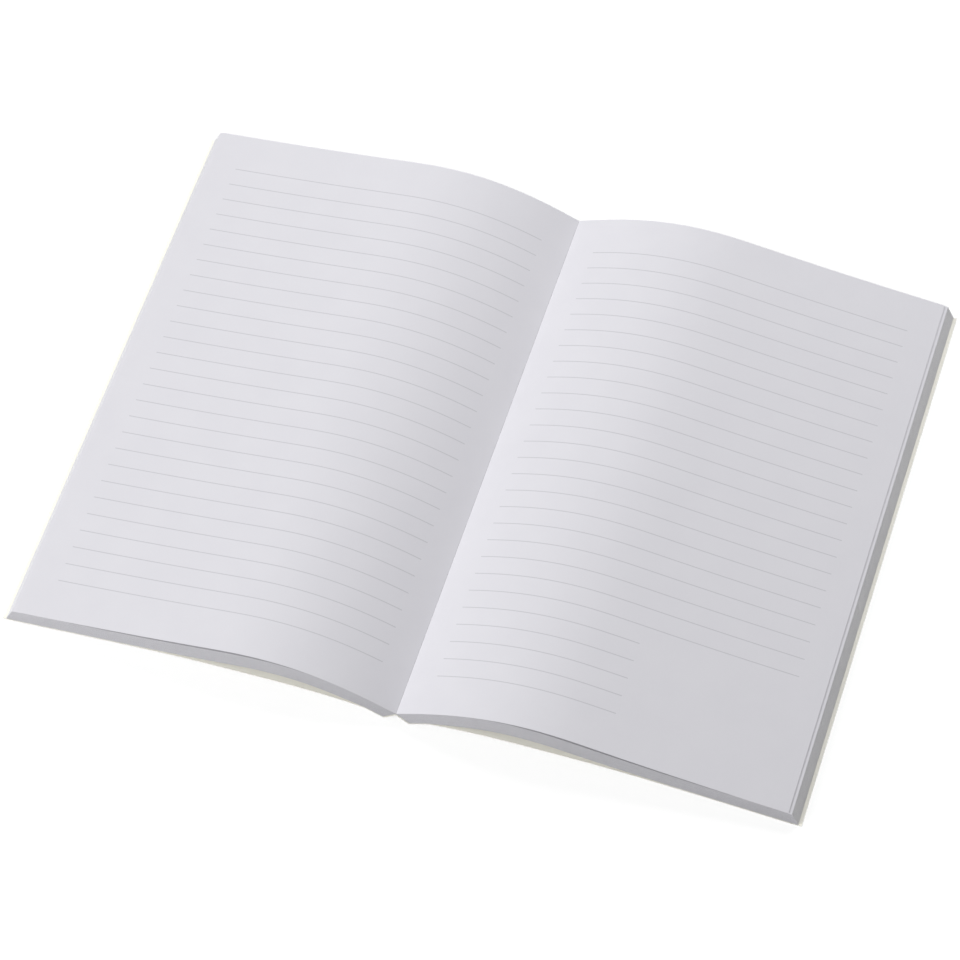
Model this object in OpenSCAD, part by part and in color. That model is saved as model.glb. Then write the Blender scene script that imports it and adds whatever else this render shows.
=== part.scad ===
// Softcover lined notebook that lies open at its middle.
//
// The leaves are glued at the spine, so each half rises from the gutter in an arch and
// comes down to the fore-edge. The cover card is folded up between the two halves at the
// spine, is glued to the outer leaves beside it, and bows clear of the table past its score.
// Every piece is one cross-section in X and Z that runs from the tail to the head along Y.
// The origin is on the table under the middle of the spine, +X towards the right-hand page,
// +Y towards the head and +Z up. All sizes are in millimetres and degrees.

/* [Leaves] */
// Height of the leaves, from tail to head
leaf_h = 210; // [180:1:240]
// Reach of the top leaf, from the gutter to its fore-edge, as it lies
page_reach = 130.2; // [118:0.1:145]
// How far the second leaf shows past the top leaf at the fore-edge
rim_w = 1.1; // [0.4:0.1:3]
// How far the bottom leaf reaches past the second leaf
fore_lean = 2.2; // [0.5:0.1:4]
// Bundles of leaves that step out down the fore-edge
fore_steps = 24; // [8:1:32]

/* [Arch of the page] */
// Slope of the leaves where they leave the gutter
gutter_slope = 24.5; // [18:0.5:30]
// Distance of the crest from the gutter
crest_x = 44.7; // [38:0.1:52]
// Height of the crest above the table
crest_z = 16.1; // [14:0.1:19]
// Height of the top leaf above the table at its fore-edge
edge_z = 5.95; // [5:0.05:8]
// Slope down to the fore-edge
edge_slope = 6; // [3:0.5:9]

/* [Underside of the leaves] */
// Slope of the bottom leaf just past the glued strip
under_slope = 16; // [10:0.5:22]
// Distance of the underside's crest from the gutter
under_x = 41; // [36:0.5:46]
// Height of the underside's crest above the table
under_z = 9.1; // [7.5:0.1:10.5]
// Width of the strip along the fore-edge where the leaves lie on the cover
contact_w = 26; // [15:1:40]

/* [Lifted top leaf] */
// Thickness of the top leaf
leaf_t = 0.15; // [0.1:0.01:0.3]
// Height of the gap under it at its widest
leaf_lift = 0.85; // [0.1:0.05:1.2]
// Where the gap starts, from the gutter
lift_start = 20; // [15:1:30]
// Where the gap is widest, from the gutter
lift_crest = 57; // [45:1:75]
// Where the gap ends, from the top leaf's fore-edge
lift_end = 14; // [8:1:30]

/* [Cover] */
// Thickness of the cover card
card_t = 0.35; // [0.25:0.01:0.5]
// How far the cover projects past the bottom leaf at the fore-edge
cover_over = 1.1; // [0.5:0.1:3]
// Slope of the cover where it leaves its score
cover_slope = 9; // [4:0.5:14]
// Distance of the cover's crest from the gutter
cover_x = 42; // [34:1:50]
// Height of the cover's outer face above the table at its crest
cover_z = 5; // [4:0.1:6]
// Width of the flat strip that rests on the table along the fore-edge
foot_w = 2.5; // [1.5:0.1:5]
// Slope of the cover where it comes down to that strip
foot_slope = 5; // [3:0.5:8]

/* [Spine] */
// Half the width between the two lower corners of the folded spine
spine_x = 4.2; // [3.5:0.1:5.5]
// Height of the fold in the spine above the table
spine_z = 3.35; // [2.5:0.05:4]
// Thickness of the glue on the backs of the leaves
glue_t = 0.2; // [0.1:0.05:0.4]
// Paper between the glue and the gutter
neck_t = 0.23; // [0.1:0.01:0.5]
// Width of the strip beside the spine where the cover is glued to the outer leaf
hinge_w = 7; // [5:0.1:10]

/* [Clearances] */
// Between the bottom leaf and the cover it lies on
air = 0.1; // [0.05:0.01:0.3]
// At the score, between the glued strip and the cover
score_gap = 0.05; // [0.02:0.01:0.1]

/* [Hidden] */

paper_colour = [0.90, 0.90, 0.915];
card_colour = [0.96, 0.96, 0.93];
glue_colour = [0.93, 0.92, 0.88];

// Straight steps along each curved stretch
curve_steps = 28;
contact_steps = 10;
gap_steps = 30;

// How far each curve keeps its end slopes, as shares of the stretch's width
gutter_pull = 0.22;
crest_pull_in = 0.45;
crest_pull_out = 0.18;
edge_pull = 0.76;
under_pull_in = [0.30, 0.40];
under_pull_out = [0.22, 0.80];
cover_pull_in = [0.30, 0.40];
cover_pull_out = [0.35, 0.55];

// A cubic curve from a to b that leaves a at slope sa and reaches b at slope sb
function curve_point(a, sa, b, sb, pull, t) =
  let (
    w = b.x - a.x,
    p = a + pull[0] * w * [1, tan(sa)],
    q = b - pull[1] * w * [1, tan(sb)],
    u = 1 - t
  )
  u * u * u * a + 3 * u * u * t * p + 3 * u * t * t * q + t * t * t * b;
function curve(a, sa, b, sb, pull) =
  [for (i = [0:curve_steps]) curve_point(a, sa, b, sb, pull, i / curve_steps)];
function tail_of(points) = [for (i = [1:len(points) - 1]) points[i]];
function reversed(points) = [for (i = [len(points) - 1:-1:0]) points[i]];
function raised(points, dz) = [for (p = points) p + [0, dz]];
function height_on(points, x) = lookup(x, points);
function slope_on(points, x) = atan(height_on(points, x + 0.5) - height_on(points, x - 0.5));

// Spine: the face of each half climbs from its lower corner to the fold
face_slope = atan(spine_z / spine_x);
// Where the spine face, raised by a, meets the glued strip, raised by b
function corner_at(a, b) =
  let (
    x = (spine_z + a / cos(face_slope) - b / cos(gutter_slope) + spine_x * tan(gutter_slope))
      / (tan(face_slope) + tan(gutter_slope))
  )
  [x, (x - spine_x) * tan(gutter_slope) + b / cos(gutter_slope)];
function fold_at(a) = [0, spine_z + a / cos(face_slope)];
gutter = fold_at(card_t + glue_t) + [0, neck_t];

// The score is the outer end of the glued strip, where the cover bends
score = [spine_x, 0] + hinge_w * [cos(gutter_slope), sin(gutter_slope)];
score_inner = score + [0, card_t / cos(gutter_slope)];

// Fore-edges, from the top leaf down and out to the cover
leaf_edge = [page_reach, edge_z];
rim = leaf_edge + rim_w * [1, -tan(edge_slope)] - [0, leaf_t];
block_x = rim.x + fore_lean;
cover_reach = block_x + cover_over;
foot_x = cover_reach - foot_w;

// Page surface, and the face of the cover that lies towards the table
page_top = concat(
  curve(gutter, gutter_slope, [crest_x, crest_z], 0, [gutter_pull, crest_pull_in]),
  tail_of(curve([crest_x, crest_z], 0, leaf_edge, -edge_slope, [crest_pull_out, edge_pull]))
);
cover_start = score + [score_gap, score_gap * tan(cover_slope)];
cover_outer = concat(
  curve(cover_start, cover_slope, [cover_x, cover_z], 0, cover_pull_in),
  tail_of(curve([cover_x, cover_z], 0, [foot_x, 0], -foot_slope, cover_pull_out)),
  [[cover_reach, 0]]
);

// Underside of the leaves: glued strip, arch, then the strip that lies on the cover
landing_x = block_x - contact_w;
function seat(x) = [x, height_on(cover_outer, x) + card_t + air];
underside = concat(
  [corner_at(card_t + glue_t, card_t)],
  curve(score_inner, under_slope, [under_x, under_z], 0, under_pull_in),
  tail_of(curve([under_x, under_z], 0, seat(landing_x), slope_on(cover_outer, landing_x),
    under_pull_out)),
  [for (i = [1:contact_steps]) seat(landing_x + contact_w * i / contact_steps)]
);

// The leaves step out bundle by bundle, each with its own upright edge
bundle_h = (rim.y - seat(block_x).y) / fore_steps;
fore_edge = [
  for (i = [fore_steps - 1:-1:0], lower = [1, 0])
    [rim.x + fore_lean * i / (fore_steps - 1), rim.y - bundle_h * (i + lower)]
];

// Gap under the lifted top leaf: it opens smoothly, is widest at its crest, then closes slowly
gap_x = [lift_start, page_reach - lift_end];
function gap_share(x) =
  x < lift_crest
    ? (1 - cos(180 * (x - gap_x[0]) / (lift_crest - gap_x[0]))) / 2
    : cos(90 * (x - lift_crest) / (gap_x[1] - lift_crest));
function gap_edge(depth) = [
  for (i = [0:gap_steps])
    let (x = gap_x[0] + (gap_x[1] - gap_x[0]) * i / gap_steps)
    [x, height_on(page_top, x) - leaf_t - depth * gap_share(x)]
];

module from_tail_to_head() {
  rotate([90, 0, 0])
    linear_extrude(height = leaf_h, center = true)
      children();
}

// One half of the leaves, from the gutter to the fore-edge
module pages() {
  color(paper_colour)
    from_tail_to_head()
      difference() {
        polygon(concat(
          [fold_at(card_t + glue_t)],
          underside,
          tail_of(fore_edge),
          [[page_reach, rim.y + rim_w * tan(edge_slope)]],
          reversed(page_top)
        ));
        polygon(concat(gap_edge(0), tail_of(reversed(tail_of(gap_edge(leaf_lift))))));
      }
}

// Glue between the backs of the leaves and the spine of the cover
module spine_glue() {
  color(glue_colour)
    from_tail_to_head()
      polygon([
        fold_at(card_t),
        corner_at(card_t, card_t),
        corner_at(card_t + glue_t, card_t),
        fold_at(card_t + glue_t),
      ]);
}

// Half of the spine of the cover card, with the strip glued to the outer leaf
module spine_strip() {
  color(card_colour)
    from_tail_to_head()
      polygon([
        fold_at(0),
        [spine_x, 0],
        score,
        score_inner,
        corner_at(card_t, card_t),
        fold_at(card_t),
      ]);
}

// A cover past its score
module cover() {
  color(card_colour)
    from_tail_to_head()
      polygon(concat(cover_outer, reversed(raised(cover_outer, card_t))));
}

module right_pages() {
  pages();
}

module left_pages() {
  mirror([1, 0, 0])
    pages();
}

module spine_glue_right() {
  spine_glue();
}

module spine_glue_left() {
  mirror([1, 0, 0])
    spine_glue();
}

module spine_strip_right() {
  spine_strip();
}

module spine_strip_left() {
  mirror([1, 0, 0])
    spine_strip();
}

module back_cover() {
  cover();
}

module front_cover() {
  mirror([1, 0, 0])
    cover();
}

right_pages();
left_pages();
spine_glue_right();
spine_glue_left();
spine_strip_right();
spine_strip_left();
back_cover();
front_cover();
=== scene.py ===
import math
import random

import bmesh
import bpy
from mathutils import Matrix, Vector
from mathutils.bvhtree import BVHTree


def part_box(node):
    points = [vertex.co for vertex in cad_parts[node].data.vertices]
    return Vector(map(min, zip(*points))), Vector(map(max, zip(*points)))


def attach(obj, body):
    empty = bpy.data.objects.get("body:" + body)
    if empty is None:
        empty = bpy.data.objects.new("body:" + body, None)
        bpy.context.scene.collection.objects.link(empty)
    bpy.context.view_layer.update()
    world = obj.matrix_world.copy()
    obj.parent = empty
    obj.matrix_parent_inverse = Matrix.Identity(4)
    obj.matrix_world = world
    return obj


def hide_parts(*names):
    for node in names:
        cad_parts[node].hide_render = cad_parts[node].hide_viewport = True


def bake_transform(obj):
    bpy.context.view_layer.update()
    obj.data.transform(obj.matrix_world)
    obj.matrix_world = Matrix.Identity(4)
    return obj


# A softcover lined notebook that lies open at its middle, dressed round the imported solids.
# Lengths are in metres, in the solids' own frame: +X to the right-hand page, +Y to the head.
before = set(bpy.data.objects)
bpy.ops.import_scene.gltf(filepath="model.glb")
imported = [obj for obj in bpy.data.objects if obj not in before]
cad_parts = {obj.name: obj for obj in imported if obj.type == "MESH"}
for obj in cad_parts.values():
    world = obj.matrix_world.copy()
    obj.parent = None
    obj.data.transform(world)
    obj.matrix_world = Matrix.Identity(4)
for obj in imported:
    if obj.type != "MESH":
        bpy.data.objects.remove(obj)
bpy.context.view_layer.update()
MM = 0.001

# Leaves under the open pages
# Each half is a stack of about fifty leaves of uncoated white writing paper, cut flush at head
# and tail. They are glued at the spine, arch over to the fore-edge and step out a little there.
side_sign = {"right": 1, "left": -1}
half_body = {"right": "back_half", "left": "front_half"}
leaves_in_half = 49
leaf_segments = 72

# The paper fills this share of a leaf's room in the stack, and the rest is air
leaf_share = 0.78

# Leaves are trimmed unevenly by a hair, and the one next to the open page a little shorter
trim_play = 0.03 * MM
rim_trim = 0.2 * MM
chance = random.Random(27)

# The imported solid's top leaf, and the gap that opens under it along the fore-edge
solid_page_thickness = 0.15 * MM
edge_gap = 0.1 * MM
edge_gap_width = 7 * MM

# Where the solid's spine and its stepped fore-edge are looked for
spine_zone = 6 * MM
edge_zone = 4 * MM
rim_drop = 0.15 * MM

# Plumb lines hang from above the book, off its middle and inside its edges
plumb_top = 1
plumb_y = 0.3 * MM
plumb_inset = 0.02 * MM
plumb_step = 0.001 * MM

# A face looks along an axis where that part of its normal is above this
facing = 0.5
leaf_crease = 40
# Material slots: head and tail cuts in painted shade, the fore-edge in painted light, and the
# painted shade in the gap under the open page
painted_shade_cut_slot, painted_light_fore_edge_slot, painted_shade_slot = 1, 2, 3
# How far the painted shade of the gap stays back from the open page's fore-edge
painted_shade_margin = 2 * MM

paper_light = (0.775, 0.768, 0.809)
paper_dark = (0.75, 0.743, 0.786)
# Painted shade: a darker paper tone on the leaf under the open page stands in for the shade in
# the gap under that page
gap_painted_shade_light = (0.50, 0.496, 0.52)
gap_painted_shade_dark = (0.46, 0.456, 0.48)
# Cut ends: head and tail are painted darker than the paper, partly for the rough fibres and
# partly as painted shade; the fore-edge is painted lighter than the paper as painted light
cut_shaded_light = (0.63, 0.625, 0.65)
cut_shaded_dark = (0.585, 0.58, 0.61)
fore_lit_light = (0.9, 0.9, 0.905)
fore_lit_dark = (0.85, 0.85, 0.855)
paper_fibre_size = 0.3 * MM
paper_cloud_size = 12 * MM
paper_relief = 0.012 * MM
paper_specular = 0.25

# The grain's values between which a finish goes from its dark tone to its light one
drift_from = 0.35
drift_to = 0.65
relief_strength = 0.6


def fibre_grain_group():
    """Pressed fibres under a slow cloudy drift, for paper, ink, glue and card."""
    group = bpy.data.node_groups.new("fibre_grain", "ShaderNodeTree")
    sockets = group.interface
    for wanted in ("Fibres per metre", "Clouds per metre"):
        sockets.new_socket(wanted, in_out="INPUT", socket_type="NodeSocketFloat")
    for given in ("Tone", "Height"):
        sockets.new_socket(given, in_out="OUTPUT", socket_type="NodeSocketFloat")
    nodes, links = group.nodes, group.links
    inputs = nodes.new("NodeGroupInput")
    outputs = nodes.new("NodeGroupOutput")
    place = nodes.new("ShaderNodeTexCoord")
    fibres = nodes.new("ShaderNodeTexNoise")
    fibres.inputs["Detail"].default_value = 3
    fibres.inputs["Roughness"].default_value = 0.62
    clouds = nodes.new("ShaderNodeTexNoise")
    clouds.inputs["Detail"].default_value = 2
    for noise, scale in ((fibres, "Fibres per metre"), (clouds, "Clouds per metre")):
        links.new(place.outputs["Object"], noise.inputs["Vector"])
        links.new(inputs.outputs[scale], noise.inputs["Scale"])
    half_clouds = nodes.new("ShaderNodeMath")
    half_clouds.operation = "MULTIPLY"
    half_clouds.inputs[1].default_value = 0.5
    links.new(clouds.outputs["Fac"], half_clouds.inputs[0])
    tone = nodes.new("ShaderNodeMath")
    tone.operation = "MULTIPLY_ADD"
    tone.inputs[1].default_value = 0.5
    links.new(fibres.outputs["Fac"], tone.inputs[0])
    links.new(half_clouds.outputs[0], tone.inputs[2])
    links.new(tone.outputs[0], outputs.inputs["Tone"])
    links.new(fibres.outputs["Fac"], outputs.inputs["Height"])
    return group


fibre_grain = fibre_grain_group()


def raise_fibres(material, fibre_size, cloud_size, relief_depth):
    """Gives a material the fibres' relief, and returns its grain for the tones to follow."""
    nodes, links = material.node_tree.nodes, material.node_tree.links
    grain = nodes.new("ShaderNodeGroup")
    grain.node_tree = fibre_grain
    grain.inputs["Fibres per metre"].default_value = 1 / fibre_size
    grain.inputs["Clouds per metre"].default_value = 1 / cloud_size
    relief = nodes.new("ShaderNodeBump")
    relief.inputs["Strength"].default_value = relief_strength
    relief.inputs["Distance"].default_value = relief_depth
    links.new(grain.outputs["Height"], relief.inputs["Height"])
    links.new(relief.outputs["Normal"], nodes["Principled BSDF"].inputs["Normal"])
    return grain


def pressed_fibre(name, light, dark, fibre_size, cloud_size, roughness, relief_depth, specular):
    """A matte sheet finish that drifts between two close tones, with its fibres in relief."""
    material = bpy.data.materials.new(name)
    material.use_nodes = True
    nodes, links = material.node_tree.nodes, material.node_tree.links
    surface = nodes["Principled BSDF"]
    surface.inputs["Specular IOR Level"].default_value = specular
    grain = raise_fibres(material, fibre_size, cloud_size, relief_depth)
    tones = nodes.new("ShaderNodeValToRGB")
    tones.color_ramp.elements[0].position = drift_from
    tones.color_ramp.elements[0].color = (*dark, 1)
    tones.color_ramp.elements[1].position = drift_to
    tones.color_ramp.elements[1].color = (*light, 1)
    links.new(grain.outputs["Tone"], tones.inputs["Fac"])
    links.new(tones.outputs["Color"], surface.inputs["Base Color"])
    dullness = nodes.new("ShaderNodeMapRange")
    dullness.inputs["From Min"].default_value = drift_from
    dullness.inputs["From Max"].default_value = drift_to
    dullness.inputs["To Min"].default_value = roughness[0]
    dullness.inputs["To Max"].default_value = roughness[1]
    links.new(grain.outputs["Tone"], dullness.inputs["Value"])
    links.new(dullness.outputs["Result"], surface.inputs["Roughness"])
    return material


paper = pressed_fibre(
    "paper",
    light=paper_light,
    dark=paper_dark,
    fibre_size=paper_fibre_size,
    cloud_size=paper_cloud_size,
    roughness=(0.78, 0.92),
    relief_depth=paper_relief,
    specular=paper_specular,
)
# Painted shade for the gap under the open page, put on the top of the leaf below it
painted_shade_paper = pressed_fibre(
    "painted_shade_paper",
    light=gap_painted_shade_light,
    dark=gap_painted_shade_dark,
    fibre_size=paper_fibre_size,
    cloud_size=4 * MM,
    roughness=(0.9, 0.95),
    relief_depth=paper_relief,
    specular=0.1,
)


def trimmed_edge(name, light, dark):
    """The rough cut ends of the leaves' fibres, in the tones given: painted shade at head and
    tail, painted light at the fore-edge.
    """
    return pressed_fibre(
        name,
        light,
        dark,
        fibre_size=0.12 * MM,
        cloud_size=2.5 * MM,
        roughness=(0.85, 0.95),
        relief_depth=0.02 * MM,
        specular=0.15,
    )


# One cut paper in two tones: head and tail in painted shade, the fore-edge in painted light
cut_edge_painted_shade = trimmed_edge("cut_edge_painted_shade", cut_shaded_light, cut_shaded_dark)
fore_edge_painted_light = trimmed_edge("fore_edge_painted_light", fore_lit_light, fore_lit_dark)


def plumb_heights(tree, x):
    """Heights where a plumb line at x meets a solid's faces, from the top down."""
    heights = []
    start = Vector((x, plumb_y, plumb_top))
    while True:
        met = tree.ray_cast(start, Vector((0, 0, -1)))[0]
        if met is None:
            return heights
        heights.append(met.z)
        start = met - Vector((0, 0, plumb_step))


def solids_tree(*names):
    """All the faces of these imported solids, for plumb lines to meet."""
    gathered = bmesh.new()
    for name in names:
        gathered.from_mesh(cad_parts[name].data)
    tree = BVHTree.FromBMesh(gathered)
    gathered.free()
    return tree


class HalfSection:
    """The cross-section of one half of the leaves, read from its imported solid."""

    def __init__(self, side):
        name = side + "_pages"
        self.sign = side_sign[side]
        self.tree = solids_tree(name)
        corners = [
            Vector((v.co.x * self.sign, v.co.z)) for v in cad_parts[name].data.vertices
        ]
        self.block_reach = max(p.x for p in corners)
        self.spine_corner = min((p for p in corners if p.x < spine_zone), key=lambda p: p.y)
        fore_edge = [p for p in corners if p.x > self.block_reach - edge_zone]
        page_edge = max(fore_edge, key=lambda p: p.y)
        self.page_reach = page_edge.x
        rim_height = page_edge.y - solid_page_thickness
        self.rim_reach = max(p.x for p in fore_edge if p.y > rim_height - rim_drop)

    def heights(self, x, reach):
        """Heights of the faces at x, from the top down, with x kept short of this reach."""
        x = min(max(x, plumb_inset), reach - plumb_inset)
        return plumb_heights(self.tree, self.sign * x)

    def page_top(self, x):
        """Height of the open page."""
        return self.heights(x, self.page_reach)[0]

    def block_top(self, x):
        """Height of the leaf under the open page: the floor of the gap where there is one."""
        met = self.heights(x, self.rim_reach)
        if len(met) == 4:
            return met[2]
        flush = met[0] - solid_page_thickness if x < self.page_reach else met[0]
        opening = (x - self.page_reach) / edge_gap_width + 1
        return flush - edge_gap * min(max(opening, 0), 1)

    def underside(self, x):
        """Height of the bottom leaf's lower face."""
        return self.heights(max(x, self.spine_corner.x + plumb_inset), self.block_reach)[-1]


sections = {side: HalfSection(side) for side in side_sign}
leaf_height = 2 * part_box("right_pages")[1].y


def finished(bm, name, materials, smooth_angle=None):
    """Makes the mesh an object that sits at the origin, with these materials."""
    bmesh.ops.recalc_face_normals(bm, faces=bm.faces)
    mesh = bpy.data.meshes.new(name)
    bm.to_mesh(mesh)
    bm.free()
    for material in materials:
        mesh.materials.append(material)
    piece = bpy.data.objects.new(name, mesh)
    bpy.context.scene.collection.objects.link(piece)
    if smooth_angle is not None:
        mesh.shade_smooth()
        mesh.set_sharp_from_angle(angle=math.radians(smooth_angle))
    return piece


def flat_sheet(width, height, columns):
    """A flat sheet from x 0 to the width, one cell high, ready to be cut and bent."""
    bm = bmesh.new()
    bmesh.ops.create_grid(bm, x_segments=columns, y_segments=1, size=0.5)
    bmesh.ops.translate(bm, vec=(0.5, 0, 0), verts=bm.verts)
    bmesh.ops.scale(bm, vec=(width, height, 1), verts=bm.verts)
    return bm


for side, section in sections.items():
    stack = bmesh.new()
    corner = section.spine_corner
    fold_height = section.heights(0, section.block_reach)[-1]
    rim_reach = section.rim_reach - rim_trim
    columns = [i / leaf_segments for i in range(leaf_segments + 1)]
    top_line = [
        Vector((s * rim_reach, section.block_top(s * rim_reach))) for s in columns
    ]
    top_line[0].y = fold_height
    low_line = [
        Vector((x, section.underside(x)))
        for x in (corner.x + s * (section.block_reach - corner.x) for s in columns)
    ]
    low_line[0] = corner.copy()
    painted_shade_reach = section.page_reach - painted_shade_margin
    for number in range(leaves_in_half):
        sheet = flat_sheet(1, leaf_height - 2 * chance.uniform(0, trim_play), leaf_segments)
        bmesh.ops.solidify(sheet, geom=sheet.faces, thickness=1)
        sheet.normal_update()
        for face in sheet.faces:
            middle = face.calc_center_median().x * rim_reach
            # Head and tail ends take the painted-shade cut tone, the other upright faces the
            # painted-light fore-edge tone
            if abs(face.normal.z) < facing:
                at_end = abs(face.normal.y) > facing
                face.material_index = painted_shade_cut_slot if at_end else painted_light_fore_edge_slot
            # The top of the leaf under the open page, short of its fore-edge, takes the painted
            # shade of the gap
            elif number == 0 and face.normal.z > facing and middle < painted_shade_reach:
                face.material_index = painted_shade_slot
        reach_play = chance.uniform(-2, 0) * trim_play
        for v in sheet.verts:
            column = round(v.co.x * leaf_segments)
            depth = (number + leaf_share * abs(round(v.co.z))) / leaves_in_half
            place = top_line[column].lerp(low_line[column], depth)
            v.co = Vector((section.sign * (place.x + reach_play * v.co.x), v.co.y, place.y))
        sheet_mesh = bpy.data.meshes.new("leaf")
        sheet.to_mesh(sheet_mesh)
        sheet.free()
        stack.from_mesh(sheet_mesh)
        bpy.data.meshes.remove(sheet_mesh)
    piece = finished(
        stack,
        side + "_leaves",
        [paper, cut_edge_painted_shade, fore_edge_painted_light, painted_shade_paper],
        leaf_crease,
    )
    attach(piece, half_body[side])
    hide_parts(side + "_pages")

# Open pages
# The top leaf of each half is the page that shows. It is the same paper, ruled with fine grey
# lines, and it lifts off the leaves under it by less than a millimetre along its arch.
page_columns = 64
page_thickness = 0.1 * MM
page_trim = 0.25 * MM
gutter_play = 0.03 * MM
line_count = 27
line_pitch = 6.918 * MM
first_line_y = 89.96 * MM
line_weight = 0.35 * MM
line_start = 9.2 * MM
line_end = 120.4 * MM
bare_corner_lines = 5
bare_corner_start = 68.8 * MM
ruling_slot = 1

ruling = bpy.data.materials.new("ruling")
ruling.use_nodes = True
ruling_surface = ruling.node_tree.nodes["Principled BSDF"]
ruling_surface.inputs["Base Color"].default_value = (0.612, 0.608, 0.643, 1)
ruling_surface.inputs["Roughness"].default_value = 0.8
ruling_surface.inputs["Specular IOR Level"].default_value = paper_specular
raise_fibres(ruling, paper_fibre_size, paper_cloud_size, paper_relief)


def cut_through(bm, place, direction):
    """Cuts a sheet by the plane that goes through this place and faces this direction."""
    everything = bm.verts[:] + bm.edges[:] + bm.faces[:]
    bmesh.ops.bisect_plane(bm, geom=everything, plane_co=place, plane_no=direction)


for side, section in sections.items():
    page_width = section.page_reach - page_trim - gutter_play
    page = flat_sheet(page_width, leaf_height, page_columns)
    bmesh.ops.translate(page, vec=(gutter_play, 0, 0), verts=page.verts)
    line_ys = [first_line_y - j * line_pitch for j in range(line_count)]
    for y in line_ys:
        for line_side in (-line_weight / 2, line_weight / 2):
            cut_through(page, (0, y + line_side, 0), (0, 1, 0))
    for x in (line_start, bare_corner_start, line_end):
        cut_through(page, (x, 0, 0), (1, 0, 0))
    for face in page.faces:
        middle = face.calc_center_median()
        for j, y in enumerate(line_ys):
            short = side == "right" and j >= line_count - bare_corner_lines
            end = bare_corner_start if short else line_end
            if abs(middle.y - y) < line_weight / 2 and line_start < middle.x < end:
                face.material_index = ruling_slot
    heights = {x: section.page_top(x) for x in {v.co.x for v in page.verts}}
    for v in page.verts:
        v.co = Vector((section.sign * v.co.x, v.co.y, heights[v.co.x]))
    if section.sign < 0:
        bmesh.ops.reverse_faces(page, faces=page.faces)
    page.normal_update()
    bmesh.ops.solidify(page, geom=page.faces, thickness=page_thickness)
    for face in page.faces:
        if face.normal.z < facing:
            face.material_index = 0
    piece = finished(page, side + "_open_page", [paper, ruling], leaf_crease)
    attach(piece, half_body[side])
    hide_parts(side + "_pages")

# Glue on the spine
# A thin film of white binding glue holds the backs of all the leaves to the folded cover. It
# shows only as a fine line at head and tail.
glue_columns = 24
glue_crease = 40
glue_shortfall = 0.6 * MM
glue_rounding = 0.15 * MM
binding_glue = pressed_fibre(
    "binding_glue",
    light=(0.84, 0.82, 0.76),
    dark=(0.78, 0.755, 0.69),
    fibre_size=0.8 * MM,
    cloud_size=6 * MM,
    roughness=(0.3, 0.45),
    relief_depth=0.02 * MM,
    specular=0.5,
)

# A strip's ends are measured this far inside them, and its places to a ten-thousandth of a mm
strip_inset = 0.01 * MM
place_digits = 7


def bent_strip(tree, x_from, x_to, columns, height, folds, rounding):
    """A strip cut flat, then bent to the section of these solids, with its folds rounded."""
    bm = bmesh.new()
    bmesh.ops.create_grid(bm, x_segments=columns, y_segments=1, size=0.5)
    bmesh.ops.scale(bm, vec=(x_to - x_from, height, 1), verts=bm.verts)
    bmesh.ops.translate(bm, vec=((x_from + x_to) / 2, 0, 0), verts=bm.verts)
    for x in folds:
        for beside in (-rounding, -rounding / 2, 0, rounding / 2, rounding):
            cut_through(bm, (x + beside, 0, 0), (1, 0, 0))
    bmesh.ops.solidify(bm, geom=bm.faces, thickness=1)
    lowest = min(v.co.z for v in bm.verts)
    bmesh.ops.translate(bm, vec=(0, 0, -lowest), verts=bm.verts)
    spots = {}
    for v in bm.verts:
        x = round(v.co.x, place_digits)
        if x not in spots:
            near = [
                min(max(x + beside, x_from + strip_inset), x_to - strip_inset)
                for beside in (-rounding, 0, rounding)
            ]
            met = [plumb_heights(tree, n) for n in near]
            upper = sum(m[0] for m in met) / len(met)
            lower = sum(m[-1] for m in met) / len(met)
            spots[x] = (upper, lower)
        upper, lower = spots[x]
        v.co.z = upper if v.co.z > 0.5 else lower
    return bm


glue_tree = solids_tree("spine_glue_left", "spine_glue_right")
glue_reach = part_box("spine_glue_right")[1].x
glue = bent_strip(
    glue_tree,
    -glue_reach,
    glue_reach,
    glue_columns,
    leaf_height - glue_shortfall,
    (0,),
    glue_rounding,
)
piece = finished(glue, "spine_glue", [binding_glue], glue_crease)
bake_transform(piece)
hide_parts("spine_glue_left", "spine_glue_right")

# Cover
# The cover is one sheet of smooth white card, creased up into the spine and scored beside it.
# It is glued to the outer leaf as far as the score, and from there each side bows free.
cover_tree = solids_tree("front_cover", "spine_strip_left", "spine_strip_right", "back_cover")
cover_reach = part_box("back_cover")[1].x
score_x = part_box("spine_strip_right")[1].x
spine_corner_x = 4.2 * MM
join_x = 7.4 * MM
fold_rounding = 0.12 * MM
spine_columns = 40
cover_columns = 84
card_crease = 50
outside_slot = 1


def smooth_card(name, light, dark):
    """Pressed card with a slight sheen."""
    return pressed_fibre(
        name,
        light,
        dark,
        fibre_size=0.5 * MM,
        cloud_size=18 * MM,
        roughness=(0.42, 0.55),
        relief_depth=0.01 * MM,
        specular=0.4,
    )


card = smooth_card("card", (0.975, 0.96, 0.87), (0.96, 0.945, 0.85))
outside_card = smooth_card("outside_card", (0.82, 0.805, 0.755), (0.80, 0.785, 0.735))


def tone_outside(bm):
    """Gives the outside of the cover, which turns down to the table, the second material."""
    bmesh.ops.recalc_face_normals(bm, faces=bm.faces)
    for face in bm.faces:
        if face.normal.z < -facing:
            face.material_index = outside_slot


spine_folds = (-spine_corner_x, 0, spine_corner_x)
spine_card = bent_strip(
    cover_tree, -join_x, join_x, spine_columns, leaf_height, spine_folds, fold_rounding
)
tone_outside(spine_card)
piece = finished(spine_card, "spine_card", [card, outside_card], card_crease)
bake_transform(piece)
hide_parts("spine_strip_left", "spine_strip_right")

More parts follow.
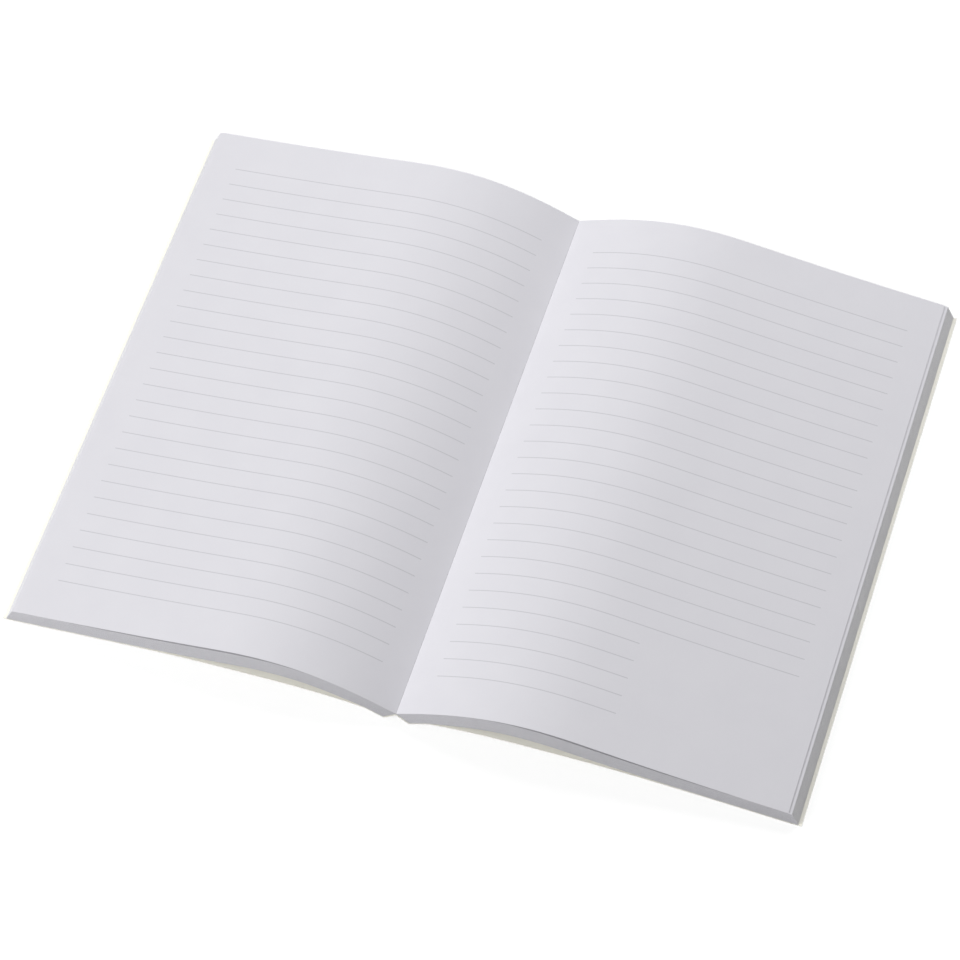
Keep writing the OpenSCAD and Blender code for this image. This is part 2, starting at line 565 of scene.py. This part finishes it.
for name, half, sign in (("front_cover", "front_half", -1), ("back_cover", "back_half", 1)):
    ends = sorted((sign * join_x, sign * cover_reach))
    cover = bent_strip(
        cover_tree, *ends, cover_columns, leaf_height, (sign * score_x,), fold_rounding
    )
    tone_outside(cover)
    piece = finished(cover, name + "_card", [card, outside_card], card_crease)
    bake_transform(piece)
    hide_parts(name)

# Floor, light and camera
# The book lies on a plain white sweep under one broad lamp at the lower left and another above
# its head. The sweep shows white to the camera and keeps the book's soft shadow. A cover that
# turns down past the table's plane shows faintly through it.
floor_reach = 2.5
floor_drop = 0.0001
veil_near = 0.8
veil_from = 0.35
veil_to = 0.9


def shown_directly(nodes, links):
    """1 where the camera looks, also in gloss or through glass, and 0 for light on the book."""
    rays = nodes.new("ShaderNodeLightPath")
    shown = rays.outputs["Is Camera Ray"]
    for kind in ("Is Transmission Ray", "Is Glossy Ray"):
        either = nodes.new("ShaderNodeMath")
        either.operation = "MAXIMUM"
        links.new(shown, either.inputs[0])
        links.new(rays.outputs[kind], either.inputs[1])
        shown = either.outputs[0]
    return shown


sweep = bpy.data.materials.new("white_sweep")
sweep.use_nodes = True
nodes, links = sweep.node_tree.nodes, sweep.node_tree.links
nodes.clear()
lit = nodes.new("ShaderNodeBsdfDiffuse")
lit.inputs["Color"].default_value = (0.3, 0.3, 0.3, 1)
place = nodes.new("ShaderNodeTexCoord")
distance = nodes.new("ShaderNodeVectorMath")
distance.operation = "LENGTH"
links.new(place.outputs["Object"], distance.inputs[0])
fade = nodes.new("ShaderNodeMapRange")
fade.inputs["From Min"].default_value = veil_from
fade.inputs["From Max"].default_value = veil_to
fade.inputs["To Min"].default_value = veil_near
links.new(distance.outputs["Value"], fade.inputs["Value"])
veil = nodes.new("ShaderNodeBsdfTransparent")
links.new(fade.outputs["Result"], veil.inputs["Color"])
veiled = nodes.new("ShaderNodeAddShader")
links.new(lit.outputs[0], veiled.inputs[0])
links.new(veil.outputs[0], veiled.inputs[1])
plain = nodes.new("ShaderNodeBsdfDiffuse")
plain.inputs["Color"].default_value = (0.85, 0.85, 0.85, 1)
above = nodes.new("ShaderNodeMixShader")
links.new(shown_directly(nodes, links), above.inputs["Fac"])
links.new(plain.outputs[0], above.inputs[1])
links.new(veiled.outputs[0], above.inputs[2])
side_seen = nodes.new("ShaderNodeNewGeometry")
clear = nodes.new("ShaderNodeBsdfTransparent")
choice = nodes.new("ShaderNodeMixShader")
links.new(side_seen.outputs["Backfacing"], choice.inputs["Fac"])
links.new(above.outputs[0], choice.inputs[1])
links.new(clear.outputs[0], choice.inputs[2])
output = nodes.new("ShaderNodeOutputMaterial")
links.new(choice.outputs[0], output.inputs["Surface"])

floor_mesh = bmesh.new()
bmesh.ops.create_grid(floor_mesh, x_segments=1, y_segments=1, size=floor_reach)
bmesh.ops.translate(floor_mesh, vec=(0, 0, -floor_drop), verts=floor_mesh.verts)
floor = finished(floor_mesh, "floor", [sweep])

world = bpy.data.worlds.new("room")
bpy.context.scene.world = world
world.use_nodes = True
nodes, links = world.node_tree.nodes, world.node_tree.links
room = nodes["Background"]
room.inputs["Color"].default_value = (1, 1, 1, 1)
room.inputs["Strength"].default_value = 0.16
backdrop = nodes.new("ShaderNodeBackground")
backdrop.inputs["Color"].default_value = (1, 1, 1, 1)
choice = nodes.new("ShaderNodeMixShader")
links.new(shown_directly(nodes, links), choice.inputs["Fac"])
links.new(room.outputs[0], choice.inputs[1])
links.new(backdrop.outputs[0], choice.inputs[2])
links.new(choice.outputs[0], nodes["World Output"].inputs["Surface"])


def lamp(name, place, size, watts):
    """A broad square lamp that points at the middle of the book."""
    light = bpy.data.lights.new(name, "AREA")
    light.size = size
    light.energy = watts
    holder = bpy.data.objects.new(name, light)
    holder.location = place
    holder.rotation_euler = (-Vector(place)).to_track_quat("-Z", "Y").to_euler()
    bpy.context.scene.collection.objects.link(holder)


lamp("window_lamp", place=(-0.75, -0.71, 0.71), size=0.6, watts=9.9)
lamp("head_lamp", place=(0.05, 0.55, 0.8), size=0.45, watts=5.1)

# The camera stands where the photograph was taken from, half a pixel off its middle
image_size = 960
camera_place = (0.2468, -0.82489, 1.22518)
camera_aim = (-0.16625, 0.54751, -0.82012)
camera_roll = 0.0965
camera = bpy.data.cameras.new("camera")
camera.sensor_width = 36
camera.lens = 167.98
camera.shift_x = -0.5 / image_size
camera.shift_y = 0.5 / image_size
camera.clip_end = 20
viewer = bpy.data.objects.new("camera", camera)
bpy.context.scene.collection.objects.link(viewer)
aim = Vector(camera_aim).to_track_quat("-Z", "Y").to_matrix().to_4x4()
roll = Matrix.Rotation(math.radians(camera_roll), 4, "Z")
viewer.matrix_world = Matrix.Translation(camera_place) @ aim @ roll
bpy.context.scene.camera = viewer
bpy.context.scene.view_settings.view_transform = "Standard"
